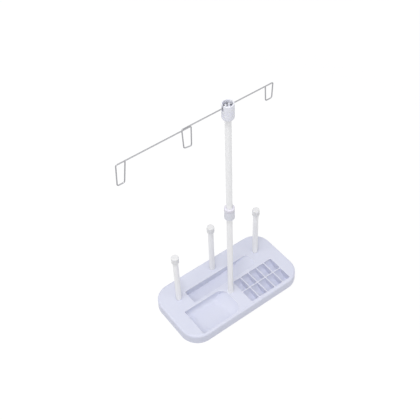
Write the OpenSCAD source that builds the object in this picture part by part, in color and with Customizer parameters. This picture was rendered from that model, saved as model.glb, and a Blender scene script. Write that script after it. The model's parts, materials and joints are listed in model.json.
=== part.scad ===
// Thread rack: a moulded base with trays, three spool pins and a two-part mast with a wire thread guide
// X runs along the base to the right, Y to the back, Z up. The origin is on the ground, halfway between
// the tip of the left thread loop and the right end of the base, and on the middle line of the base

/* [Base] */
// Length of the base
base_l = 200; // [192:1:230]
// Width of the base
base_w = 105.5; // [101:0.5:120]
// Height of the deck above the ground
base_h = 16.5; // [15.5:0.5:24]
// Radius of the four corners in plan
corner_r = 27.6; // [22:0.2:34]
// Rounding of the edge between the deck and the side wall
edge_r = 3; // [1.5:0.5:3.5]
// Thickness of the side wall
side_t = 2; // [1.6:0.2:2.4]
// Thickness of the deck
deck_t = 2; // [1.6:0.2:3]
// Thickness of the walls and floors under the trays
tray_t = 1.6; // [1.2:0.2:2]
// Thickness of the stiffening ribs under the deck
rib_t = 1.4; // [1:0.1:2]

/* [Trays] */
// Width of the land between the front face and the front tray
front_land = 3.75; // [3.6:0.05:6]
// Distance from the left end of the base to the front tray
left_land = 21.3; // [19:0.1:30]
// Width of the front tray
front_tray_w = 46.5; // [40:0.5:48]
// Depth of both trays
tray_d = 12; // [10:0.5:12]
// Distance from the mast's axis to the right end of the front tray
mast_land = 5.6; // [5.4:0.1:8]
// Length of the scooped end of the front tray
front_scoop = 24; // [16:1:36]
// Plan radius of the front tray's two scooped corners
front_tray_r = 14; // [8:1:18]
// Width of the ridge between the two trays
ridge_t = 4; // [3:0.5:5]
// Width of the back tray
back_tray_w = 24; // [18:0.5:25]
// Distance from the left end of the base to the back tray
back_tray_left = 42; // [40:1:56]
// Distance from the right end of the base to the back tray
back_tray_right = 43; // [41:1:60]
// Length of the scooped end of the back tray
back_scoop = 82; // [40:1:90]
// Plan radius of the back tray's two scooped corners
back_tray_r = 8; // [4:1:11]
// Height of the step left at the end of a scoop
scoop_step = 1; // [0.6:0.1:2]
// Radius of the sharp corners of a tray in plan
tray_corner_r = 2; // [1:0.5:4]
// Rounding between the front tray's floor and its long walls
front_floor_r = 7.5; // [2:0.5:8]
// Rounding between the back tray's floor and its long walls
back_floor_r = 1.5; // [1:0.5:5]

/* [Bobbin pockets] */
// Number of pockets along the base
pocket_cols = 5; // [3:1:5]
// Number of pocket rows
pocket_rows = 2; // [1:1:2]
// Length of a pocket along the base, for the bobbin's thickness
pocket_w = 13.27; // [12.5:0.01:13.6]
// Length of a pocket across the base, for the bobbin's diameter
pocket_l = 21.5; // [21:0.1:22.2]
// Depth of a pocket at the middle of its round floor
pocket_d = 12; // [10.5:0.5:12]
// Thickness of the ribs between the pockets
pocket_rib = 1.3; // [1:0.1:1.6]
// Corner radius of a pocket in plan
pocket_r = 1; // [0.4:0.1:2]
// Distance from the right end of the base to the pockets
right_land = 20.75; // [18:0.25:22]
// Width of the land between the front face and the pockets
pocket_land = 5.05; // [3.8:0.05:5.6]

/* [Feet] */
// Diameter of a foot pad
pad_d = 10; // [8:0.5:10]
// Thickness of a foot pad
pad_t = 1.6; // [1.4:0.1:2]
// Depth of the recess that holds a pad
pad_recess = 0.6; // [0.4:0.1:0.8]
// Distance from the ends of the base to a pad's axis
pad_inset_x = 14.6; // [13.6:0.2:16]
// Distance from the long sides of the base to a pad's axis
pad_inset_y = 16.25; // [15:0.25:18]

/* [Tubes] */
// Outer diameter of the tube that the mast and the pins are cut from
tube_d = 8; // [7.4:0.1:8.8]
// Wall of the tube
tube_t = 1; // [0.8:0.1:1.4]
// Radial clearance of a tube in a hole that it slides or turns in
fit = 0.05; // [0.03:0.01:0.1]

/* [Mast] */
// Distance from the middle of the base to the mast, to the left
mast_left = 4.6; // [3:0.1:6]
// Distance from the back edge of the front tray to the mast
mast_back = 11.3; // [10:0.1:14]
// Depth of the mast's socket
mast_socket = 13; // [9:0.5:13]
// Length of the lower tube
lower_tube_l = 178; // [120:1:220]
// Length of the upper tube
upper_tube_l = 166; // [120:1:220]

/* [Coupler] */
// Outer diameter of the coupler
coupler_d = 13.7; // [13.6:0.1:17]
// Length of the lower tube inside the coupler
coupler_grip = 7.1; // [6:0.1:12]
// Thickness of the web between the two tubes
coupler_web = 2; // [1.5:0.1:3]
// Distance from the web to the seam between body and nut
coupler_shoulder = 5; // [2:0.1:7]
// Height of the split neck above the seam
neck_h = 3.2; // [2.4:0.1:6]
// Wall of the neck
neck_t = 1.35; // [1.2:0.05:1.6]
// Width of the slits in the neck
slit_w = 0.8; // [0.6:0.1:1.2]
// Gap that shows as the seam
seam = 0.3; // [0.2:0.1:0.6]
// Thickness of the nut's top
nut_top = 1.7; // [1.2:0.1:3]
// Gap between the tube and the mouth of the nut
nut_mouth = 0.1; // [0.05:0.05:0.5]
// Rounding of the coupler's two outer edges
coupler_r = 1; // [0.5:0.1:1.8]

/* [Guide cap] */
// Outer diameter of the guide cap
cap_d = 15.1; // [14.7:0.1:18]
// Length of the upper tube inside the cap
cap_grip = 10.4; // [8:0.1:16]
// Thickness of the web over the tube
cap_web = 2; // [1.5:0.1:4]
// Depth of the open cup
cup_depth = 9; // [7:0.5:12]
// Wall of the cup
cup_t = 1.35; // [1.2:0.05:1.5]
// Rounding of the cap's lower edge
cap_r = 3; // [1.5:0.1:3.2]
// Height of the seat that the wire's kink rests on
seat_h = 4.5; // [3:0.1:5]
// Diameter of the seat
seat_d = 7.2; // [6:0.1:7.6]
// Diameter of the two pegs inside the kink
peg_d = 1.9; // [1.2:0.1:1.9]
// Height of the pegs above the seat
peg_h = 2.4; // [1.6:0.1:3]

/* [Wire guide] */
// Diameter of the wire
wire_d = 1.5; // [1.2:0.1:1.8]
// Play between the wire and the slots that it lies in
slot_play = 0.5; // [0.3:0.1:1]
// Angle at which the guide stands turned on the mast
guide_turn = 0.8; // [-5:0.1:5]
// Distance from the mast to the middle of the left loop
left_loop = 141.3; // [110:0.1:160]
// Distance from the mast to the middle of the middle loop
middle_loop = 57.1; // [40:0.1:80]
// Distance from the mast to the middle of the right loop
right_loop = 59.65; // [40:0.1:100]
// Drop of the left loop
left_drop = 28; // [20:0.5:36]
// Drop of the middle loop
middle_drop = 27; // [20:0.5:36]
// Drop of the right loop
right_drop = 21; // [18:0.5:36]
// Width of the loops at the bar
loop_top = 11.2; // [10:0.1:14]
// Width of the loops at the bottom
loop_bottom = 9.2; // [8:0.1:12]
// Outward lean of the left loop
left_lean = 3.2; // [0:0.1:5]
// Bend radius of the wire at the bar
top_bend = 1.6; // [1.4:0.1:2]
// Bend radius of the wire at the bottom of a loop
bottom_bend = 2.2; // [1.6:0.1:3]
// Gap between the wire's end and the bar, where the thread slips in
loop_gap = 0.4; // [0.2:0.1:1]

/* [Spool pins] */
// Height of a spool pin above the deck
pin_h = 92; // [50:1:120]
// Distance from the ends of the base to the outer pins
pin_inset_x = 29.5; // [24:0.5:34]
// Distance from the back of the base to the outer pins
pin_inset_y = 30.25; // [26:0.25:34]
// Distance from the back of the base to the middle pin
middle_inset_y = 16.25; // [14:0.25:17]
// Depth of a pin's socket
pin_socket = 12; // [8:0.5:12]
// Diameter of the cap on a pin
pin_cap_d = 10.8; // [10.6:0.1:14]
// Height of the cap on a pin
pin_cap_h = 10; // [7:0.1:12]
// Thickness of the cap's top
pin_cap_top = 1.8; // [1.4:0.1:2.4]
// Rounding of the cap's upper edge
pin_cap_r = 1.5; // [1:0.1:3]

/* [Hidden] */
$fn = 64;

// Lengths that are cut past a face so that nothing is left on it
over = 1;
// Air left under or over a part that stands on a floor or under a web
air = 0.1;
// Glue gap round a part that is fixed on a tube
glue = 0.03;
tube_r = tube_d / 2;
hole_r = tube_r + fit;
// Height of the moulding above the ground, on its pads
stand = pad_t - pad_recess;

// Middle and ends of the base, and the reach of the left loop from its middle
left_reach = mast_left + left_loop + left_lean + loop_bottom / 2 + wire_d / 2;
base_x = (left_reach - base_l / 2) / 2;
base_x0 = base_x - base_l / 2;
base_x1 = base_x + base_l / 2;

// Places of the trays and the pockets
front_y = -base_w / 2 + front_land;
mast_x = base_x - mast_left;
mast_y = front_y + front_tray_w - mast_back;
front_tray_x0 = base_x0 + left_land;
front_tray_x1 = mast_x - mast_land;
front_tray_y1 = front_y + front_tray_w;
back_tray_x0 = base_x0 + back_tray_left;
back_tray_x1 = base_x1 - back_tray_right;
back_tray_y0 = front_tray_y1 + ridge_t;
back_tray_y1 = back_tray_y0 + back_tray_w;
pocket_pitch_x = pocket_w + pocket_rib;
pocket_pitch_y = pocket_l + pocket_rib;
pockets_x1 = base_x1 - right_land;
pockets_x0 = pockets_x1 - pocket_cols * pocket_pitch_x + pocket_rib;
pockets_y0 = -base_w / 2 + pocket_land;
// The floor of a pocket is round about the bobbin's axis, and its shell stands in front of the pocket's end
// from rail_z up
pocket_z = base_h - pocket_d + pocket_l / 2;
rail_z = pocket_z - sqrt(tray_t * (pocket_l + tray_t));

// Places of the pins, left, middle and right, and of the pads
PINS = [[base_x0 + pin_inset_x, base_w / 2 - pin_inset_y],
    [base_x, base_w / 2 - middle_inset_y],
    [base_x1 - pin_inset_x, base_w / 2 - pin_inset_y]];
PADS = [for (x = [base_x0 + pad_inset_x, base_x1 - pad_inset_x], y = [-1, 1])
    [x, y * (base_w / 2 - pad_inset_y)]];

// Bosses under the deck, and the shallow ring and lead-in round each hole
boss_t = 2;
boss_floor = 1.5;
ring_w = 2.2;
ring_d = 0.3;
lead_in = 0.6;
post_t = 1.2;
rib_clear = 3;

// Heights on the mast, from the socket's floor up
lower_z0 = base_h - mast_socket + air;
lower_z1 = lower_z0 + lower_tube_l;
coupler_z = lower_z1 - coupler_grip;
web_z1 = lower_z1 + coupler_web;
seam_z = web_z1 + coupler_shoulder;
neck_z1 = seam_z + neck_h;
nut_z0 = seam_z + seam;
nut_z1 = neck_z1 + seam + nut_top;
upper_z0 = web_z1;
upper_z1 = upper_z0 + upper_tube_l;
cap_z0 = upper_z1 - cap_grip;
cup_z0 = upper_z1 + air + cap_web;
cap_z1 = cup_z0 + cup_depth;
coupler_or = coupler_d / 2;
neck_r = hole_r + neck_t;

// Heights of the wire and the slots, above the ground
wire_r = wire_d / 2;
wire_z = cup_z0 + seat_h + wire_r;
slot_floor = 0.5;
slot_z0 = cup_z0 + slot_floor;
rim_r = 0.5;
seat_y = 1.6;
peg_y = 0.9;
// The kink's two humps stand over the pegs
kink_x = 2.4;
// Sides of the wire's section and the angle between its rings in a bend
wire_sides = 8;
bend_step = 18;

// Rounded rectangle with its own corner radius at each end
module plan(x0, x1, y0, y1, r0, r1) {
    square_y = y1 - y0;
    translate([x0 + r0, y0])
        square([x1 - r1 - x0 - r0, square_y]);
    translate([x0, y0 + r0])
        square([r0 + 0.01, square_y - 2 * r0]);
    translate([x1 - r1 - 0.01, y0 + r1])
        square([r1 + 0.01, square_y - 2 * r1]);
    for (y = [y0 + r0, y1 - r0])
        translate([x0 + r0, y])
            circle(r0);
    for (y = [y0 + r1, y1 - r1])
        translate([x1 - r1, y])
            circle(r1);
}

// Cross-section with two rounded upper edges
module rounded_top(w, h, r) {
    translate([-w / 2, 0])
        square([w, h - r]);
    translate([-w / 2 + r, 0])
        square([w - 2 * r, h]);
    for (s = [-1, 1])
        translate([s * (w / 2 - r), h - r])
            circle(r);
}

// Half of that section, from the axis outwards, for a revolve
module half_section(r_out, h, r) {
    square([r_out, h - r]);
    square([r_out - r, h]);
    translate([r_out - r, h - r])
        circle(r);
}

// The base's outer form: four revolved corners, one bar along X and one along Y
module base_form() {
    h = base_h - stand;
    cx = base_l / 2 - corner_r;
    cy = base_w / 2 - corner_r;
    translate([base_x, 0, stand]) {
        for (x = [-cx, cx], y = [-cy, cy])
            translate([x, y, 0])
                rotate_extrude()
                    half_section(corner_r, h, edge_r);
        translate([-cx, 0, 0])
            rotate([90, 0, 90])
                linear_extrude(2 * cx)
                    rounded_top(base_w, h, edge_r);
        translate([0, cy, 0])
            rotate([90, 0, 0])
                linear_extrude(2 * cy)
                    rounded_top(base_l, h, edge_r);
    }
}

// Radius of a scoop that rises by h over a length l, level at its start
function scoop_radius(l, h) = (l * l + h * h) / (2 * h);

// A tray's space, or with g its block: level floor, then a scoop that rises to the right end
module tray_form(x0, x1, y0, y1, r1, floor_r, scoop, top, g) {
    depth = tray_d;
    floor_z = base_h - depth - g;
    r = scoop_radius(scoop, depth - scoop_step);
    start = x1 - scoop;
    high = top - floor_z;
    intersection() {
        translate([0, 0, floor_z])
            linear_extrude(high)
                plan(x0 - g, x1 + g, y0 - g, y1 + g, tray_corner_r + g, r1 + g);
        translate([0, y1 + g + over, 0])
            rotate([90, 0, 0])
                linear_extrude(y1 - y0 + 2 * g + 2 * over) {
                    translate([x0 - g - over, floor_z])
                        square([start - x0 + g + over, high]);
                    intersection() {
                        translate([start, floor_z + r + g])
                            circle(r + g, $fn = 256);
                        translate([start - over, floor_z])
                            square([scoop + g + 2 * over, high]);
                    }
                }
        translate([x0 - g - over, (y0 + y1) / 2, floor_z])
            rotate([90, 0, 90])
                linear_extrude(x1 - x0 + 2 * g + 2 * over)
                    round_floor(y1 - y0 + 2 * g, high, floor_r + g);
    }
}

// Cross-section with two rounded lower edges
module round_floor(w, h, r) {
    translate([-w / 2, r])
        square([w, h - r]);
    translate([-w / 2 + r, 0])
        square([w - 2 * r, h]);
    for (s = [-1, 1])
        translate([s * (w / 2 - r), r])
            circle(r);
}

module front_tray(top, g) {
    tray_form(front_tray_x0, front_tray_x1, front_y, front_tray_y1, front_tray_r, front_floor_r,
        front_scoop, top, g);
}

module back_tray(top, g) {
    tray_form(back_tray_x0, back_tray_x1, back_tray_y0, back_tray_y1, back_tray_r, back_floor_r,
        back_scoop, top, g);
}

// A bar along X from x0 to x1 with the section of a row of pockets: round below, straight walls above
module pocket_row(x0, x1, y, r, top) {
    translate([x0, y + pocket_l / 2, 0])
        rotate([90, 0, 90])
            linear_extrude(x1 - x0)
                intersection() {
                    union() {
                        translate([0, pocket_z])
                            circle(r);
                        translate([-r, pocket_z])
                            square([2 * r, base_h + over - pocket_z]);
                    }
                    translate([-r, 0])
                        square([2 * r, top]);
                }
}

module pockets() {
    for (i = [0 : pocket_cols - 1], j = [0 : pocket_rows - 1]) {
        x = pockets_x0 + i * pocket_pitch_x;
        y = pockets_y0 + j * pocket_pitch_y;
        intersection() {
            translate([0, 0, base_h - pocket_d - over])
                linear_extrude(pocket_d + 2 * over)
                    plan(x, x + pocket_w, y, y + pocket_l, pocket_r, pocket_r);
            pocket_row(x - over, x + pocket_w + over, y, pocket_l / 2, base_h + over);
        }
    }
}

// The stretch that ties a block to the front wall, up to the block's wall at y1
module front_rail(x0, x1, y1, z0) {
    y0 = -base_w / 2 + side_t / 2;
    translate([x0, y0, z0])
        cube([x1 - x0, y1 - y0, base_h - deck_t / 2 - z0]);
}

// A boss that hangs from the deck round a socket
module boss(x, y, depth) {
    z0 = base_h - depth - boss_floor;
    translate([x, y, z0])
        cylinder(h = base_h - deck_t / 2 - z0, r = hole_r + boss_t);
}

// A socket with its lead-in, and the shallow ring round it where ring is true
module socket(x, y, depth, ring) {
    translate([x, y, base_h - depth])
        cylinder(h = depth + over, r = hole_r);
    deck = ring ? base_h - ring_d : base_h;
    translate([x, y, deck - lead_in])
        cylinder(h = lead_in, r1 = hole_r, r2 = hole_r + lead_in);
    if (ring)
        translate([x, y, deck])
            cylinder(h = ring_d + over, r = hole_r + ring_w);
}

// A rib under the deck between two points, along X or along Y
module rib(x0, y0, x1, y1) {
    z0 = stand + rib_clear;
    translate([min(x0, x1) - (y0 == y1 ? 0 : rib_t / 2), min(y0, y1) - (x0 == x1 ? 0 : rib_t / 2), z0])
        cube([abs(x1 - x0) + (y0 == y1 ? 0 : rib_t), abs(y1 - y0) + (x0 == x1 ? 0 : rib_t),
            base_h - deck_t / 2 - z0]);
}

module ribs() {
    end_y = base_w / 2 - side_t / 2;
    for (p = PINS)
        rib(p[0], p[1], p[0], end_y);
    rib(PINS[0][0], PINS[0][1], base_x0 + side_t / 2, PINS[0][1]);
    rib(PINS[2][0], PINS[2][1], base_x1 - side_t / 2, PINS[2][1]);
    rib(PINS[0][0], PINS[0][1], back_tray_x0, PINS[0][1]);
    rib(PINS[2][0], PINS[2][1], back_tray_x1, PINS[2][1]);
    rib(PINS[1][0], PINS[1][1], PINS[1][0], back_tray_y1);
    rib(mast_x, mast_y, mast_x, back_tray_y0);
    rib(mast_x, mast_y, pockets_x0, mast_y);
}

module base_tray() {
    color("#d3d5ea")
    difference() {
        union() {
            difference() {
                base_form();
                translate([0, 0, stand - over])
                    linear_extrude(base_h - deck_t - stand + over)
                        plan(base_x0 + side_t, base_x1 - side_t, -base_w / 2 + side_t,
                            base_w / 2 - side_t, corner_r - side_t, corner_r - side_t);
            }
            front_tray(base_h - deck_t / 2, tray_t);
            back_tray(base_h - deck_t / 2, tray_t);
            for (j = [0 : pocket_rows - 1])
                pocket_row(pockets_x0 - tray_t, pockets_x1 + tray_t, pockets_y0 + j * pocket_pitch_y,
                    pocket_l / 2 + tray_t, base_h - deck_t / 2);
            front_rail(front_tray_x0 + front_tray_r, front_tray_x1 - front_tray_r, front_y, base_h - tray_d);
            front_rail(pockets_x0, pockets_x1, pockets_y0, rail_z);
            for (p = PINS)
                boss(p[0], p[1], pin_socket);
            boss(mast_x, mast_y, mast_socket);
            for (p = PADS)
                translate([p[0], p[1], stand])
                    cylinder(h = base_h - deck_t / 2 - stand, r = pad_d / 2 + post_t);
            ribs();
        }
        front_tray(base_h + over, 0);
        back_tray(base_h + over, 0);
        pockets();
        for (p = PINS)
            socket(p[0], p[1], pin_socket, true);
        socket(mast_x, mast_y, mast_socket, false);
        for (p = PADS)
            translate([p[0], p[1], stand - over])
                cylinder(h = pad_recess + over, r = pad_d / 2 + air);
    }
}

module foot_pad(i) {
    chamfer = 0.4;
    color("#c9c9cc")
    translate([PADS[i][0], PADS[i][1], 0]) {
        cylinder(h = chamfer, r1 = pad_d / 2 - chamfer, r2 = pad_d / 2);
        translate([0, 0, chamfer])
            cylinder(h = pad_t - chamfer, r = pad_d / 2);
    }
}

// A length of tube on the Z axis
module tube(z0, z1) {
    translate([0, 0, z0])
        difference() {
            cylinder(h = z1 - z0, r = tube_r);
            translate([0, 0, -over])
                cylinder(h = z1 - z0 + 2 * over, r = tube_r - tube_t);
        }
}

module on_mast() {
    translate([mast_x, mast_y, 0])
        children();
}

module mast_lower_tube() {
    color("#ececec")
    on_mast()
        tube(lower_z0, lower_z1);
}

module mast_upper_tube() {
    color("#ececec")
    on_mast()
        tube(upper_z0, upper_z1);
}

// The half glued on the lower tube, with a split neck that takes the upper tube
module coupler_body() {
    body_h = seam_z - coupler_z;
    color("#d3d5ea")
    on_mast()
        difference() {
            union() {
                translate([0, 0, seam_z])
                    rotate([180, 0, 0])
                        rotate_extrude()
                            half_section(coupler_or, body_h, coupler_r);
                translate([0, 0, seam_z])
                    cylinder(h = neck_h, r = neck_r);
            }
            translate([0, 0, coupler_z - over])
                cylinder(h = coupler_grip + over, r = tube_r + glue);
            translate([0, 0, web_z1])
                cylinder(h = neck_z1 - web_z1 + over, r = hole_r);
            for (a = [0, 90])
                rotate([0, 0, a])
                    translate([-coupler_or, -slit_w / 2, nut_z0])
                        cube([coupler_d, slit_w, neck_h + over]);
        }
}

// The ring that turns on the neck
module coupler_nut() {
    color("#dddff0")
    on_mast()
        difference() {
            translate([0, 0, nut_z0])
                rotate_extrude()
                    half_section(coupler_or, nut_z1 - nut_z0, coupler_r);
            translate([0, 0, nut_z0 - over])
                cylinder(h = neck_z1 + seam - nut_z0 + over, r = neck_r + fit);
            translate([0, 0, neck_z1])
                cylinder(h = nut_z1 - neck_z1 + over, r = tube_r + nut_mouth);
        }
}

module guide_cap() {
    cap_or = cap_d / 2;
    color("#d3d5ea")
    on_mast()
        rotate([0, 0, guide_turn]) {
            difference() {
                union() {
                    translate([0, 0, cap_z1 - 2 * rim_r])
                        rotate([180, 0, 0])
                            rotate_extrude()
                                half_section(cap_or, cap_z1 - 2 * rim_r - cap_z0, cap_r);
                    translate([0, 0, cap_z1 - 2 * rim_r])
                        rotate_extrude()
                            half_section(cap_or, 2 * rim_r, rim_r);
                }
                translate([0, 0, cap_z0 - over])
                    cylinder(h = cap_grip + air + over, r = hole_r);
                translate([0, 0, cup_z0])
                    cylinder(h = cup_depth + over, r = cap_or - cup_t);
                translate([-cap_d, -wire_r - slot_play / 2, slot_z0])
                    cube([2 * cap_d, wire_d + slot_play, cap_z1 - slot_z0 + over]);
            }
            translate([0, seat_y, cup_z0])
                cylinder(h = seat_h, d = seat_d);
            for (s = [-1, 1])
                translate([s * kink_x, peg_y, cup_z0])
                    cylinder(h = seat_h + peg_h, d = peg_d);
        }
}

// Vector helpers for the wire
function unit(v) = v / norm(v);
function bend_angle(a, b) = acos(max(-1, min(1, a * b)));
function side_of(d) = unit(cross(d, abs(d[1]) < 0.9 ? [0, 1, 0] : [1, 0, 0]));

// Places along a bend of radius r at corner p, from direction d to e, each with its own direction
function bend(p, d, e, r) =
    let (
        angle = bend_angle(d, e),
        steps = ceil(angle / bend_step),
        n = unit(e - (e * d) * d),
        centre = p - d * r * tan(angle / 2) + n * r
    )
    [for (k = [0 : steps])
        let (a = angle * k / steps)
        [centre + r * (d * sin(a) - n * cos(a)), d * cos(a) + n * sin(a)]];

// Places along a wire through corners [point, bend radius]
function wire_path(route) =
    let (
        n = len(route),
        way = [for (i = [0 : n - 2]) unit(route[i + 1][0] - route[i][0])]
    )
    concat([[route[0][0], way[0]]],
        [for (i = [1 : n - 2]) each bend(route[i][0], way[i - 1], way[i], route[i][1])],
        [[route[n - 1][0], way[n - 2]]]);

// A wire swept along its path as one closed surface
module bent_wire(route) {
    path = wire_path(route);
    last = len(path) - 1;
    side = [for (i = 0, s = side_of(path[0][1]); i <= last; i = i + 1,
        s = i <= last ? unit(s - (s * path[i][1]) * path[i][1]) : s) s];
    points = [for (i = [0 : last], j = [0 : wire_sides - 1])
        let (a = 360 * j / wire_sides)
        path[i][0] + wire_r * (cos(a) * side[i] + sin(a) * cross(path[i][1], side[i]))];
    skin = [for (i = [0 : last - 1], j = [0 : wire_sides - 1])
        let (
            k = (j + 1) % wire_sides,
            a = i * wire_sides,
            b = a + wire_sides
        )
        each [[a + j, b + j, b + k], [a + j, b + k, a + k]]];
    ends = [[for (j = [0 : wire_sides - 1]) j],
        [for (j = [wire_sides - 1 : -1 : 0]) last * wire_sides + j]];
    polyhedron(points, concat(skin, ends));
}

// The wire's corners, seen from the mast: left loop, bar, one full turn, kink in the cap, right loop
function guide_route() =
    let (
        y0 = -wire_d - air,
        end_z = -wire_r - loop_gap,
        t = loop_top / 2,
        b = loop_bottom / 2,
        low_l = -left_loop - left_lean,
        kink_start = 5,
        kink_y = 5.8,
        kink_valley = -0.3,
        kink_bend = 1.1
    )
    [[[-left_loop + t, y0, end_z], 0],
        [[low_l + b, y0, -left_drop], bottom_bend],
        [[low_l - b, y0, -left_drop], bottom_bend],
        [[-left_loop - t, y0, 0], top_bend],
        [[-middle_loop + t, y0, 0], top_bend],
        [[-middle_loop + b, y0, -middle_drop], bottom_bend],
        [[-middle_loop - b, 0, -middle_drop], bottom_bend],
        [[-middle_loop - t, 0, 0], top_bend],
        [[-kink_start, 0, 0], kink_bend],
        [[-kink_x, kink_y, 0], kink_bend],
        [[0, kink_valley, 0], kink_bend],
        [[kink_x, kink_y, 0], kink_bend],
        [[kink_start, 0, 0], kink_bend],
        [[right_loop + t, 0, 0], top_bend],
        [[right_loop + b, 0, -right_drop], bottom_bend],
        [[right_loop - b, 0, -right_drop], bottom_bend],
        [[right_loop - t, 0, end_z], 0]];

module guide_wire() {
    color("#8d8d90")
    translate([mast_x, mast_y, wire_z])
        rotate([0, 0, guide_turn])
            bent_wire(guide_route());
}

module pin_tube(i) {
    color("#ececec")
    translate([PINS[i][0], PINS[i][1], 0])
        tube(base_h - pin_socket + air, base_h + pin_h - pin_cap_top);
}

module pin_cap(i) {
    color("#efefef")
    translate([PINS[i][0], PINS[i][1], base_h + pin_h - pin_cap_h])
        difference() {
            rotate_extrude()
                half_section(pin_cap_d / 2, pin_cap_h, pin_cap_r);
            translate([0, 0, -over])
                cylinder(h = pin_cap_h - pin_cap_top + over, r = tube_r + glue);
        }
}

base_tray();
foot_pad(0);  // foot_pad_front_left
foot_pad(2);  // foot_pad_front_right
foot_pad(1);  // foot_pad_back_left
foot_pad(3);  // foot_pad_back_right
mast_lower_tube();
coupler_body();
coupler_nut();
mast_upper_tube();
guide_cap();
guide_wire();
pin_tube(0);  // pin_tube_left
pin_tube(1);  // pin_tube_middle
pin_tube(2);  // pin_tube_right
pin_cap(0);  // pin_cap_left
pin_cap(1);  // pin_cap_middle
pin_cap(2);  // pin_cap_right
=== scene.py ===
import json
import math
import bmesh
import bpy
from mathutils import Matrix, Vector
from mathutils.geometry import intersect_point_line


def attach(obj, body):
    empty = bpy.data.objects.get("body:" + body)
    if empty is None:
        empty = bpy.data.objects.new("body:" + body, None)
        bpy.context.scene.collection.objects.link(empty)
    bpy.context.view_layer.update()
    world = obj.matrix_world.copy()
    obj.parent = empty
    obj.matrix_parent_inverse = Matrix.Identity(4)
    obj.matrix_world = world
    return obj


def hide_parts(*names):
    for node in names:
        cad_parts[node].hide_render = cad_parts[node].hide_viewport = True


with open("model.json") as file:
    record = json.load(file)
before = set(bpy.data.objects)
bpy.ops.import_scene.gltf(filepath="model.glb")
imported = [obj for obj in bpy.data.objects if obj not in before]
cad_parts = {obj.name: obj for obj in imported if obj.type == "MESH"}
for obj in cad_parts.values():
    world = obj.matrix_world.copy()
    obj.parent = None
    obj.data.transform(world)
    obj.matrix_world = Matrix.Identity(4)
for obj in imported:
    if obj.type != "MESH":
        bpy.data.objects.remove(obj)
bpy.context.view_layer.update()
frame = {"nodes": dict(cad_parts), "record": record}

parts = frame["nodes"]
mm = 0.001


def hexColour(code):
    # sRGB hex to the linear colour that a shader wants
    levels = [int(code[i:i + 2], 16) / 255 for i in (1, 3, 5)]
    linear = [v / 12.92 if v <= 0.04045 else ((v + 0.055) / 1.055) ** 2.4 for v in levels]
    return (*linear, 1)


def addNode(tree, kind, inputs=None, **settings):
    # one node with its settings; an input is a plain value or an output socket to link from
    node = tree.nodes.new(kind)
    for name, value in settings.items():
        setattr(node, name, value)
    for key, value in (inputs or {}).items():
        socket = node.inputs[key]
        if isinstance(value, bpy.types.NodeSocket):
            tree.links.new(value, socket)
        else:
            socket.default_value = value
    return node


def newMaterial(name):
    material = bpy.data.materials.new(name)
    material.use_nodes = True
    tree = material.node_tree
    tree.nodes.clear()
    place = addNode(tree, "ShaderNodeTexCoord").outputs["Object"]
    return material, tree, place


def finishMaterial(tree, shader):
    addNode(tree, "ShaderNodeOutputMaterial", {"Surface": shader.outputs[0]})


# Materials

# Injection-moulded ABS, tinted a pale lavender blue. The spark-eroded mould gives it a satin skin, its gloss
# drifts slowly where the melt cooled, and a little light goes into it; the rounded rims get a painted
# highlight, a paler tone mixed into their colour
plastic = {
    "grainSize": 0.9 * mm,       # the real grain is about 0.2 mm, too fine for the picture
    "grainDepth": 0.003 * mm,
    "grainStrength": 0.6,
    "driftSize": 70 * mm,
    "roughness": (0.41, 0.52),   # at both ends of the drift
    "ior": 1.53,
    # painted highlight: the pale tone mixed into the rounded rims
    "rimHighlightTone": "#FBFCFF",
    "glowDepth": 1.6 * mm,
    "glowTint": (1, 1, 1.1),     # blue light goes in a little further
}


def mouldedAbs(name, colour, shade, rimHighlight, glow):
    # the rim argument is the share of the painted highlight tone on the rounded edges; glow: share of light
    # that goes in
    material, tree, place = newMaterial(name)
    drift = addNode(tree, "ShaderNodeTexNoise",
                    {"Vector": place, "Scale": 1 / plastic["driftSize"], "Detail": 2.0})
    tint = addNode(tree, "ShaderNodeMix",
                   {"Factor": drift.outputs["Fac"], "A": hexColour(shade), "B": hexColour(colour)},
                   data_type="RGBA")
    # painted highlight: the rim faces are mixed towards the pale rim tone
    rim = addNode(tree, "ShaderNodeAttribute", attribute_name="rim")
    highlightShare = addNode(tree, "ShaderNodeMath", {0: rim.outputs["Fac"], 1: rimHighlight}, operation="MULTIPLY")
    highlighted = addNode(tree, "ShaderNodeMix",
                    {"Factor": highlightShare.outputs[0], "A": tint.outputs["Result"],
                     "B": hexColour(plastic["rimHighlightTone"])},
                    data_type="RGBA")
    grain = addNode(tree, "ShaderNodeTexNoise",
                    {"Vector": place, "Scale": 1 / plastic["grainSize"], "Detail": 3.0, "Roughness": 0.6})
    smoothest, roughest = plastic["roughness"]
    gloss = addNode(tree, "ShaderNodeMapRange",
                    {"Value": drift.outputs["Fac"], "To Min": smoothest, "To Max": roughest})
    bump = addNode(tree, "ShaderNodeBump",
                   {"Height": grain.outputs["Fac"], "Distance": plastic["grainDepth"],
                    "Strength": plastic["grainStrength"]})
    shader = addNode(tree, "ShaderNodeBsdfPrincipled",
                     {"Base Color": highlighted.outputs["Result"], "Roughness": gloss.outputs["Result"],
                      "Normal": bump.outputs["Normal"], "IOR": plastic["ior"],
                      "Subsurface Weight": glow, "Subsurface Scale": plastic["glowDepth"],
                      "Subsurface Radius": plastic["glowTint"]})
    finishMaterial(tree, shader)
    return material


# Extruded white ABS tube. The die leaves faint lines along it, on a skin a little glossier than a moulding's
tubeSkin = {
    "lineWidth": 0.45 * mm,
    "lineLength": 60 * mm,
    "lineDepth": 0.0015 * mm,
    "lineStrength": 0.5,
    "roughness": (0.26, 0.36),   # between and on the lines
}


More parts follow.
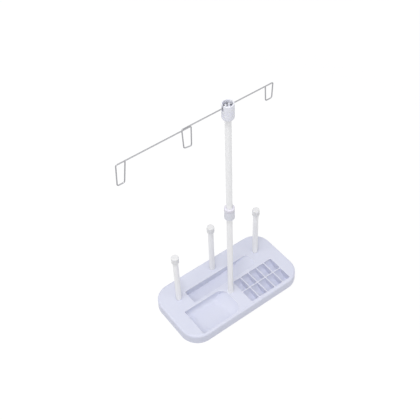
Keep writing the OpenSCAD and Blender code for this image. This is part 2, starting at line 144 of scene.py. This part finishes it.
def extrudedTube(name, colour, shade):
    material, tree, place = newMaterial(name)
    along = addNode(tree, "ShaderNodeMapping",
                    {"Vector": place, "Scale": (1 / tubeSkin["lineWidth"], 1 / tubeSkin["lineWidth"],
                                                1 / tubeSkin["lineLength"])})
    lines = addNode(tree, "ShaderNodeTexNoise", {"Vector": along.outputs[0], "Scale": 1.0, "Detail": 2.0})
    tint = addNode(tree, "ShaderNodeMix",
                   {"Factor": lines.outputs["Fac"], "A": hexColour(shade), "B": hexColour(colour)},
                   data_type="RGBA")
    smoothest, roughest = tubeSkin["roughness"]
    gloss = addNode(tree, "ShaderNodeMapRange",
                    {"Value": lines.outputs["Fac"], "To Min": smoothest, "To Max": roughest})
    bump = addNode(tree, "ShaderNodeBump",
                   {"Height": lines.outputs["Fac"], "Distance": tubeSkin["lineDepth"],
                    "Strength": tubeSkin["lineStrength"]})
    shader = addNode(tree, "ShaderNodeBsdfPrincipled",
                     {"Base Color": tint.outputs["Result"], "Roughness": gloss.outputs["Result"],
                      "Normal": bump.outputs["Normal"], "IOR": plastic["ior"]})
    finishMaterial(tree, shader)
    return material


# Drawn spring steel wire, bright but not polished: the die leaves fine scratches along it
wireSkin = {
    "scratchWidth": 0.25 * mm,   # real ones are about 0.02 mm, too fine for the picture
    "scratchLength": 14 * mm,
    "roughness": (0.26, 0.42),   # between and on the scratches
}


def drawnSteel(name, colour, shade):
    material, tree, place = newMaterial(name)
    along = addNode(tree, "ShaderNodeMapping",
                    {"Vector": place, "Scale": (1 / wireSkin["scratchLength"], 1 / wireSkin["scratchWidth"],
                                                1 / wireSkin["scratchWidth"])})
    scratch = addNode(tree, "ShaderNodeTexNoise", {"Vector": along.outputs[0], "Scale": 1.0, "Detail": 3.0})
    tint = addNode(tree, "ShaderNodeMix",
                   {"Factor": scratch.outputs["Fac"], "A": hexColour(shade), "B": hexColour(colour)},
                   data_type="RGBA")
    smoothest, roughest = wireSkin["roughness"]
    gloss = addNode(tree, "ShaderNodeMapRange",
                    {"Value": scratch.outputs["Fac"], "To Min": smoothest, "To Max": roughest})
    shader = addNode(tree, "ShaderNodeBsdfPrincipled",
                     {"Base Color": tint.outputs["Result"], "Roughness": gloss.outputs["Result"],
                      "Metallic": 1.0})
    finishMaterial(tree, shader)
    return material


# Foamed rubber, die-cut from a sheet for the pads: matt, with open pores
padSkin = {
    "poreSize": 0.5 * mm,
    "poreDepth": 0.05 * mm,
    "poreStrength": 0.7,
    "roughness": 0.85,
    "ior": 1.5,
}


def padRubber(name, colour, shade):
    material, tree, place = newMaterial(name)
    pores = addNode(tree, "ShaderNodeTexVoronoi", {"Vector": place, "Scale": 1 / padSkin["poreSize"]})
    # painted shade: the pore bottoms, where the bump is lowest, are mixed towards the darker tone
    tint = addNode(tree, "ShaderNodeMix",
                   {"Factor": pores.outputs["Distance"], "A": hexColour(shade), "B": hexColour(colour)},
                   data_type="RGBA")
    bump = addNode(tree, "ShaderNodeBump",
                   {"Height": pores.outputs["Distance"], "Distance": padSkin["poreDepth"],
                    "Strength": padSkin["poreStrength"]})
    shader = addNode(tree, "ShaderNodeBsdfPrincipled",
                     {"Base Color": tint.outputs["Result"], "Roughness": padSkin["roughness"],
                      "Normal": bump.outputs["Normal"], "IOR": padSkin["ior"]})
    finishMaterial(tree, shader)
    return material


# the fourth number is the share of painted highlight on the rounded rims
baseAbs = mouldedAbs("lavenderAbsBase", "#D7D9E8", "#D0D3E3", 0.8, 0.12)
couplerAbs = mouldedAbs("lavenderAbsCoupler", "#E1E2EA", "#DBDCE5", 0.1, 0.3)
nutAbs = mouldedAbs("paleAbsNut", "#E0DEE7", "#DBD9E3", 0.0, 0.3)
capAbs = mouldedAbs("lavenderAbsCap", "#E8E9F1", "#E3E4ED", 0.1, 0.3)
pinCapAbs = mouldedAbs("whiteAbsPinCap", "#E6E6E7", "#E1E1E3", 0.0, 0.3)
tubeAbs = extrudedTube("whiteAbsTube", "#F4F4F5", "#F2F2F3")
wireSteel = drawnSteel("drawnSteelWire", "#B3B3B6", "#9B9B9F")
# the pad's darker tone is painted shade in its pore bottoms
padFoam = padRubber("foamRubberPad", "#B9B9BD", "#8E8E93")
print("materials made")


# Plastic and rubber pieces: the CAD mesh with its doubles merged and its rims rounded

rims = {  # rounding of each piece's sharp edges, mm
    "base_tray": 0.25,
    "coupler_body": 0.25,
    "coupler_nut": 0.25,
    "guide_cap": 0.2,
    "pin_cap_left": 0.2,
    "pin_cap_middle": 0.2,
    "pin_cap_right": 0.2,
    "foot_pad_front_left": 0.15,
    "foot_pad_front_right": 0.15,
    "foot_pad_back_left": 0.15,
    "foot_pad_back_right": 0.15,
    "mast_lower_tube": 0.15,
    "mast_upper_tube": 0.15,
    "pin_tube_left": 0.15,
    "pin_tube_middle": 0.15,
    "pin_tube_right": 0.15,
}
# the pieces whose rims are laid one by one, and the lowest rim that is rounded, mm above the table
rimLevel = {"base_tray": 16.4, "coupler_body": 0, "guide_cap": 0}
rimRoom = 1.2                  # free width that a rim needs beside it, as a share of its own
rimReach = 2.5                 # longest move of a rim's corner, as a share of its width
rimBulge = 1 - math.sqrt(0.5)  # puts the middle of a square rim on a quarter circle
rimHold = 1e-4                 # keeps a corner from sliding along a straight rim
rimAngle = math.radians(28)
sharpAngle = math.radians(35)
flatAngle = math.radians(0.4)
sameSpot = 0.001 * mm


def mergedCopy(name):
    mesh = parts[name].data.copy()
    mesh.name = name + "_moulded"
    shape = bmesh.new()
    shape.from_mesh(mesh)
    bmesh.ops.remove_doubles(shape, verts=shape.verts, dist=sameSpot)
    bmesh.ops.dissolve_limit(shape, angle_limit=flatAngle, verts=shape.verts, edges=shape.edges,
                             use_dissolve_boundaries=False)
    shape.to_mesh(mesh)
    shape.free()
    return mesh


def settle(piece):
    # the modifiers' result becomes the piece's own mesh
    depsgraph = bpy.context.evaluated_depsgraph_get()
    mesh = bpy.data.meshes.new_from_object(piece.evaluated_get(depsgraph))
    piece.modifiers.clear()
    piece.data = mesh
    return mesh


def newPiece(name, mesh):
    piece = bpy.data.objects.new(name + "_finished", mesh)
    bpy.context.scene.collection.objects.link(piece)
    return piece


def handOver(piece, name, material):
    piece.data.materials.clear()
    piece.data.materials.append(material)
    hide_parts(name)
    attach(piece, bodyOf[name])
    print("finished", name, len(piece.data.polygons))


def distanceTo(edge, point):
    start, end = (vert.co for vert in edge.verts)
    share = intersect_point_line(point, start, end)[1]
    return (point - start.lerp(end, min(max(share, 0), 1))).length


def rimEdges(shape, width, level):
    # sharp outward edges at or above the level whose faces have room for the rounding on both sides
    chosen = {edge for edge in shape.edges
              if edge.is_manifold and edge.is_convex and edge.calc_face_angle(0) > rimAngle
              and min(vert.co.z for vert in edge.verts) > level}
    while True:
        onRims = {vert for edge in chosen for vert in edge.verts}
        tight = {edge for edge in chosen for face in edge.link_faces for vert in face.verts
                 if vert not in onRims and distanceTo(edge, vert.co) < rimRoom * width}
        if not tight:
            return [edge for edge in shape.edges if edge in chosen]
        chosen -= tight


def sidesOf(corner, rimsHere):
    # the faces round a corner, parted into the sides that its rim edges leave
    sides = []
    waiting = list(corner.link_faces)
    while waiting:
        side, border = [], [waiting.pop(0)]
        while border:
            face = border.pop()
            side.append(face)
            for edge in face.edges:
                if corner not in edge.verts or edge in rimsHere:
                    continue
                for other in edge.link_faces:
                    if other in waiting:
                        waiting.remove(other)
                        border.append(other)
        sides.append(side)
    return sides


def cornerShift(side, rimsHere, width):
    # the move that keeps a corner on the faces of its side and takes it the width away from its rim edges
    wishes = [(face.normal, 0) for face in side]
    for face in side:
        for loop in face.loops:
            if loop.edge in rimsHere:
                along = (loop.link_loop_next.vert.co - loop.vert.co).normalized()
                wishes.append((face.normal.cross(along), width))
    # least squares, with a weak wish to stay in place
    total = Matrix.Identity(3) * rimHold
    aim = Vector((0, 0, 0))
    for way, length in wishes:
        total += Matrix([[a * b for b in way] for a in way])
        aim += way * length
    return total.inverted() @ aim


def partedCorners(shape, chosen, width):
    # all places of the new mesh, the place that each face has of a parted corner, and the one between
    places = [vert.co.copy() for vert in shape.verts]
    beside, between = {}, {}
    for vert in shape.verts:
        rimsHere = [edge for edge in vert.link_edges if edge in chosen]
        sides = sidesOf(vert, rimsHere)
        if len(rimsHere) != 2 or len(sides) != 2:
            continue
        shifts = [cornerShift(side, rimsHere, width) for side in sides]
        if max(shift.length for shift in shifts) > rimReach * width:
            continue
        for side, shift in zip(sides, shifts):
            for face in side:
                beside[vert, face] = len(places)
            places.append(vert.co + shift)
        between[vert] = len(places)
        places.append(vert.co + (shifts[0] + shifts[1]) * rimBulge)
    return places, beside, between


def rimmedMesh(name, width, level):
    # each rim edge gives way to two narrow faces; its corners part into one on each side and one between
    shape = bmesh.new()
    shape.from_mesh(mergedCopy(name))
    shape.normal_update()
    chosen = rimEdges(shape, width, level)
    places, beside, between = partedCorners(shape, set(chosen), width)
    faces = [[beside.get((vert, face), vert.index) for vert in face.verts] for face in shape.faces]
    plain = len(faces)
    for edge in chosen:
        loop, other = edge.link_loops
        ends = (loop.vert, loop.link_loop_next.vert)
        near = [beside.get((vert, loop.face), vert.index) for vert in ends]
        middle = [between.get(vert, vert.index) for vert in ends]
        far = [beside.get((vert, other.face), vert.index) for vert in ends]
        for upper, lower in ((near, middle), (middle, far)):
            corners = [upper[1], upper[0], lower[0], lower[1]]
            # a rim that runs out ends in a triangle
            corners = [corner for k, corner in enumerate(corners) if corner != corners[k - 1]]
            if len(corners) > 2:
                faces.append(corners)
    shape.free()
    used = sorted({corner for face in faces for corner in face})
    number = {corner: k for k, corner in enumerate(used)}
    mesh = bpy.data.meshes.new(name + "_rimmed")
    mesh.from_pydata([places[corner] for corner in used], [],
                     [[number[corner] for corner in face] for face in faces])
    marks = mesh.attributes.new("rim", "FLOAT", "FACE")
    marks.data.foreach_set("value", [float(k >= plain) for k in range(len(faces))])
    print("rims of", name, len(chosen), "edges", len(faces) - plain, "faces")
    return mesh


def bevelledMesh(name):
    # the bevel puts its own faces in a second slot; they are then marked as rim and go back to the first
    mesh = mergedCopy(name)
    mesh.materials.clear()
    for slot in ("body", "rim"):
        mesh.materials.append(bpy.data.materials.new(slot))
    piece = newPiece(name, mesh)
    bevel = piece.modifiers.new("rims", "BEVEL")
    bevel.width = rims[name] * mm
    bevel.segments = 2
    bevel.limit_method = "ANGLE"
    bevel.angle_limit = rimAngle
    bevel.material = 1
    mesh = settle(piece)
    bpy.data.objects.remove(piece)
    marks = mesh.attributes.new("rim", "FLOAT", "FACE")
    marks.data.foreach_set("value", [float(face.material_index) for face in mesh.polygons])
    mesh.polygons.foreach_set("material_index", [0] * len(mesh.polygons))
    return mesh


def roundedPiece(name):
    # a bevel would fold the large flat faces of the pieces in rimLevel
    if name in rimLevel:
        mesh = rimmedMesh(name, rims[name] * mm, rimLevel[name] * mm)
    else:
        mesh = bevelledMesh(name)
    piece = newPiece(name, mesh)
    mesh.polygons.foreach_set("use_smooth", [True] * len(mesh.polygons))
    mesh.set_sharp_from_angle(angle=sharpAngle)
    weighted = piece.modifiers.new("flats", "WEIGHTED_NORMAL")
    weighted.keep_sharp = True
    settle(piece)
    return piece


record = frame["record"]
bodyOf = {node: body for body, members in record["behaviour"]["bodies"].items() for node in members}
slotOf = {part["node"]: part["material_slot"] for part in record["subparts"]}
finishOf = {
    "base_plastic": baseAbs, "coupler_plastic": couplerAbs, "nut_plastic": nutAbs,
    "cap_plastic": capAbs, "tube_plastic": tubeAbs, "pin_cap_plastic": pinCapAbs, "pad_rubber": padFoam,
}
for name in rims:
    handOver(roundedPiece(name), name, finishOf[slotOf[name]])


# Thread guide: one wire swept round through its corners

guide = {  # mm from the mast's axis and down from the bar's middle line, as the guide stands unturned
    "wire": 1.5, "wireGap": 0.1,
    "turn": 0.8,                 # degrees round the mast
    "leftLoop": -141.3, "leftDrop": 28.0, "leftLean": 3.2,
    "middleLoop": -57.1, "middleDrop": 27.0,
    "rightLoop": 59.65, "rightDrop": 21.0,
    "loopTop": 11.2, "loopBottom": 9.2, "loopGap": 0.4,
    "topBend": 1.6, "bottomBend": 2.2,
    "kinkStart": 5.0, "kinkX": 2.4, "kinkY": 5.8, "kinkValley": -0.3, "kinkBend": 1.1,
    "sides": 20, "bendPoints": 10,   # of the round section, and along each bend
}
# the sheared ends: share of the full thickness at each distance from the tip, mm
shearedEnd = [(0.0, 0.62), (0.1, 0.82), (0.26, 0.95), (0.5, 1.0)]


def guideCorners():
    # (x, y, z), bend radius, from the left loop's open end to the right loop's
    halfTop, halfBottom = guide["loopTop"] / 2, guide["loopBottom"] / 2
    left, middle, right = guide["leftLoop"], guide["middleLoop"], guide["rightLoop"]
    leftLow = left - guide["leftLean"]
    leftDrop, middleDrop, rightDrop = -guide["leftDrop"], -guide["middleDrop"], -guide["rightDrop"]
    front = -guide["wire"] - guide["wireGap"]
    openEnd = -guide["wire"] / 2 - guide["loopGap"]
    top, bottom, kink = guide["topBend"], guide["bottomBend"], guide["kinkBend"]
    kinkX, kinkY = guide["kinkX"], guide["kinkY"]
    return [
        ((left + halfTop, front, openEnd), 0),
        ((leftLow + halfBottom, front, leftDrop), bottom),
        ((leftLow - halfBottom, front, leftDrop), bottom),
        ((left - halfTop, front, 0), top),
        ((middle + halfTop, front, 0), top),
        ((middle + halfBottom, front, middleDrop), bottom),
        ((middle - halfBottom, 0, middleDrop), bottom),
        ((middle - halfTop, 0, 0), top),
        ((-guide["kinkStart"], 0, 0), kink),
        ((-kinkX, kinkY, 0), kink),
        ((0, guide["kinkValley"], 0), kink),
        ((kinkX, kinkY, 0), kink),
        ((guide["kinkStart"], 0, 0), kink),
        ((right + halfTop, 0, 0), top),
        ((right + halfBottom, 0, rightDrop), bottom),
        ((right - halfBottom, 0, rightDrop), bottom),
        ((right - halfTop, 0, openEnd), 0),
    ]


def endPoints(tip, inward):
    # the tip and the few places behind it where the sheared end reaches full thickness
    way = (Vector(inward) - Vector(tip)).normalized()
    return [(Vector(tip) + way * step, 0, share) for step, share in shearedEnd]


def cornerMesh():
    corners = guideCorners()
    points = (endPoints(corners[0][0], corners[1][0])
              + [(Vector(place), bend, 1.0) for place, bend in corners[1:-1]]
              + endPoints(corners[-1][0], corners[-2][0])[::-1])
    tube = [parts["mast_upper_tube"].matrix_world @ v.co for v in parts["mast_upper_tube"].data.vertices]
    wire = [parts["guide_wire"].matrix_world @ v.co for v in parts["guide_wire"].data.vertices]
    axis = [(min(v[k] for v in tube) + max(v[k] for v in tube)) / 2 for k in (0, 1)]
    bar = max(v.z for v in wire) - guide["wire"] / 2 * mm
    stand = Matrix.Translation((*axis, bar)) @ Matrix.Rotation(math.radians(guide["turn"]), 4, "Z")
    mesh = bpy.data.meshes.new("guideCorners")
    mesh.from_pydata([stand @ (place * mm) for place, _, _ in points],
                     [(k, k + 1) for k in range(len(points) - 1)], [])
    for label, column, unit in (("bendRadius", 1, mm), ("thickness", 2, 1.0)):
        values = mesh.attributes.new(label, "FLOAT", "POINT")
        values.data.foreach_set("value", [point[column] * unit for point in points])
    return mesh


def wireTree():
    tree = bpy.data.node_groups.new("bentWire", "GeometryNodeTree")
    for name, kind in (("Corners", "Geometry"), ("Wire Radius", "Float"), ("Sides", "Int"),
                       ("Bend Points", "Int"), ("Material", "Material")):
        tree.interface.new_socket(name, in_out="INPUT", socket_type="NodeSocket" + kind)
    tree.interface.new_socket("Wire", in_out="OUTPUT", socket_type="NodeSocketGeometry")
    given = addNode(tree, "NodeGroupInput").outputs
    bends = addNode(tree, "GeometryNodeInputNamedAttribute", {"Name": "bendRadius"}, data_type="FLOAT")
    thick = addNode(tree, "GeometryNodeInputNamedAttribute", {"Name": "thickness"}, data_type="FLOAT")
    line = addNode(tree, "GeometryNodeMeshToCurve", {"Mesh": given["Corners"]})
    bent = addNode(tree, "GeometryNodeFilletCurve",
                   {"Curve": line.outputs["Curve"], "Count": given["Bend Points"],
                    "Radius": bends.outputs["Attribute"], "Limit Radius": True}, mode="POLY")
    ring = addNode(tree, "GeometryNodeCurvePrimitiveCircle",
                   {"Resolution": given["Sides"], "Radius": given["Wire Radius"]}, mode="RADIUS")
    swept = addNode(tree, "GeometryNodeCurveToMesh",
                    {"Curve": bent.outputs["Curve"], "Profile Curve": ring.outputs["Curve"],
                     "Scale": thick.outputs["Attribute"], "Fill Caps": True})
    smooth = addNode(tree, "GeometryNodeSetShadeSmooth", {"Geometry": swept.outputs["Mesh"]}, domain="FACE")
    angle = addNode(tree, "GeometryNodeInputMeshEdgeAngle")
    rim = addNode(tree, "FunctionNodeCompare", {"A": angle.outputs["Unsigned Angle"], "B": sharpAngle},
                  data_type="FLOAT", operation="GREATER_THAN")
    shaded = addNode(tree, "GeometryNodeSetShadeSmooth",
                     {"Geometry": smooth.outputs["Geometry"], "Selection": rim.outputs["Result"],
                      "Shade Smooth": False}, domain="EDGE")
    whole = addNode(tree, "GeometryNodeRealizeInstances", {"Geometry": shaded.outputs["Geometry"]})
    coated = addNode(tree, "GeometryNodeSetMaterial",
                     {"Geometry": whole.outputs["Geometry"], "Material": given["Material"]})
    addNode(tree, "NodeGroupOutput", {"Wire": coated.outputs["Geometry"]})
    return tree


tree = wireTree()
wire = newPiece("guide_wire", cornerMesh())
sweep = wire.modifiers.new("sweep", "NODES")
sweep.node_group = tree
inputs = {"Wire Radius": guide["wire"] / 2 * mm, "Sides": guide["sides"],
          "Bend Points": guide["bendPoints"], "Material": wireSteel}
for socket in tree.interface.items_tree:
    if socket.name in inputs:
        sweep[socket.identifier] = inputs[socket.name]
wire.update_tag()
settle(wire)
handOver(wire, "guide_wire", wireSteel)


# Floor, light and camera

backdrop = {
    "floorSide": 6.0,            # metres
    "floorTone": "#D6D6D8",
    "floorShare": 0.75,          # share of plain white in the floor as it is seen; the rest keeps the shadow
    "fadeStart": 0.6,            # metres from the middle where the floor starts to turn plain white,
    "fadeEnd": 2.0,              # and where it is, so that its far edge doesn't show
    "floorWhite": 1.13,          # a little over 1, so that the two shares together come to white
    "skyLight": 0.6,             # what the object gets from the world
}


def backdropRays(tree):
    # 1 for rays from the camera, from a glossy surface and through glass, which all see the white backdrop
    rays = addNode(tree, "ShaderNodeLightPath").outputs
    mirrored = addNode(tree, "ShaderNodeMath", {0: rays["Is Camera Ray"], 1: rays["Is Glossy Ray"]},
                       operation="MAXIMUM")
    return addNode(tree, "ShaderNodeMath", {0: mirrored.outputs[0], 1: rays["Is Transmission Ray"]},
                   operation="MAXIMUM").outputs[0]


bpy.ops.mesh.primitive_plane_add(size=backdrop["floorSide"])
floor = bpy.context.object
floor.name = "floor"
floorMaterial, tree, place = newMaterial("paleFloor")
matt = addNode(tree, "ShaderNodeBsdfDiffuse", {"Color": hexColour(backdrop["floorTone"])})
bright = addNode(tree, "ShaderNodeEmission", {"Color": (1, 1, 1, 1), "Strength": backdrop["floorWhite"]})
reach = addNode(tree, "ShaderNodeVectorMath", {0: place}, operation="LENGTH")
share = addNode(tree, "ShaderNodeMapRange",
                {"Value": reach.outputs["Value"],
                 "From Min": backdrop["fadeStart"], "From Max": backdrop["fadeEnd"],
                 "To Min": backdrop["floorShare"], "To Max": 1.0})
seen = addNode(tree, "ShaderNodeMath", {0: backdropRays(tree), 1: share.outputs["Result"]},
               operation="MULTIPLY")
addNode(tree, "ShaderNodeOutputMaterial", {"Surface": addNode(
    tree, "ShaderNodeMixShader",
    {0: seen.outputs[0], 1: matt.outputs[0], 2: bright.outputs[0]}).outputs[0]})
floor.data.materials.append(floorMaterial)

world = bpy.data.worlds.new("studio")
bpy.context.scene.world = world
world.use_nodes = True
tree = world.node_tree
tree.nodes.clear()
unseen = addNode(tree, "ShaderNodeBackground", {"Color": (1, 1, 1, 1), "Strength": backdrop["skyLight"]})
white = addNode(tree, "ShaderNodeBackground", {"Color": (1, 1, 1, 1), "Strength": 1.0})
addNode(tree, "ShaderNodeOutputWorld", {"Surface": addNode(
    tree, "ShaderNodeMixShader",
    {0: backdropRays(tree), 1: unseen.outputs[0], 2: white.outputs[0]}).outputs[0]})

lamps = {  # name: (place, side in metres, watts)
    "keyLamp": ((-0.9, 0.1, 1.2), 1.0, 5.2),
    "frontLamp": ((0.3, -1.1, 0.7), 1.0, 2.2),
    "topLamp": ((-0.34, -0.34, 2.0), 0.3, 11.5),
}
lampAim = Vector((0.0, 0.0, 0.1))   # a little above the base
for name, (place, side, watts) in lamps.items():
    light = bpy.data.lights.new(name, "AREA")
    light.shape = "SQUARE"
    light.size = side
    light.energy = watts
    lamp = bpy.data.objects.new(name, light)
    lamp.matrix_world = (Matrix.Translation(place)
                         @ (lampAim - Vector(place)).to_track_quat("-Z", "Y").to_matrix().to_4x4())
    bpy.context.scene.collection.objects.link(lamp)

shot = {  # the camera that matches the picture, from the front left and above: metres, degrees, lens in mm
    "target": (0.02722, 0.0, 0.07843),
    "across": -0.02044, "upward": 0.06573,
    "azimuth": -35.034, "elevation": 47.216, "roll": -2.529,
    "distance": 0.99481, "lens": 61.077, "sensor": 36.0,
}
azimuth, elevation, roll = (math.radians(shot[key]) for key in ("azimuth", "elevation", "roll"))
right = Vector((math.cos(azimuth), math.sin(azimuth), 0))
away = Vector((math.sin(azimuth), -math.cos(azimuth), 0))
back = away * math.cos(elevation) + Vector((0, 0, math.sin(elevation)))
up = back.cross(right)
look = Vector(shot["target"]) + right * shot["across"] + up * shot["upward"]
turnedRight = right * math.cos(roll) + up * math.sin(roll)
turnedUp = up * math.cos(roll) - right * math.sin(roll)
lens = bpy.data.cameras.new("camera")
lens.lens = shot["lens"]
lens.sensor_width = shot["sensor"]
camera = bpy.data.objects.new("camera", lens)
camera.matrix_world = (Matrix.Translation(look + back * shot["distance"])
                       @ Matrix((turnedRight, turnedUp, back)).transposed().to_4x4())
bpy.context.scene.collection.objects.link(camera)
bpy.context.scene.camera = camera
bpy.context.scene.view_settings.view_transform = "Standard"
print("stage ready")
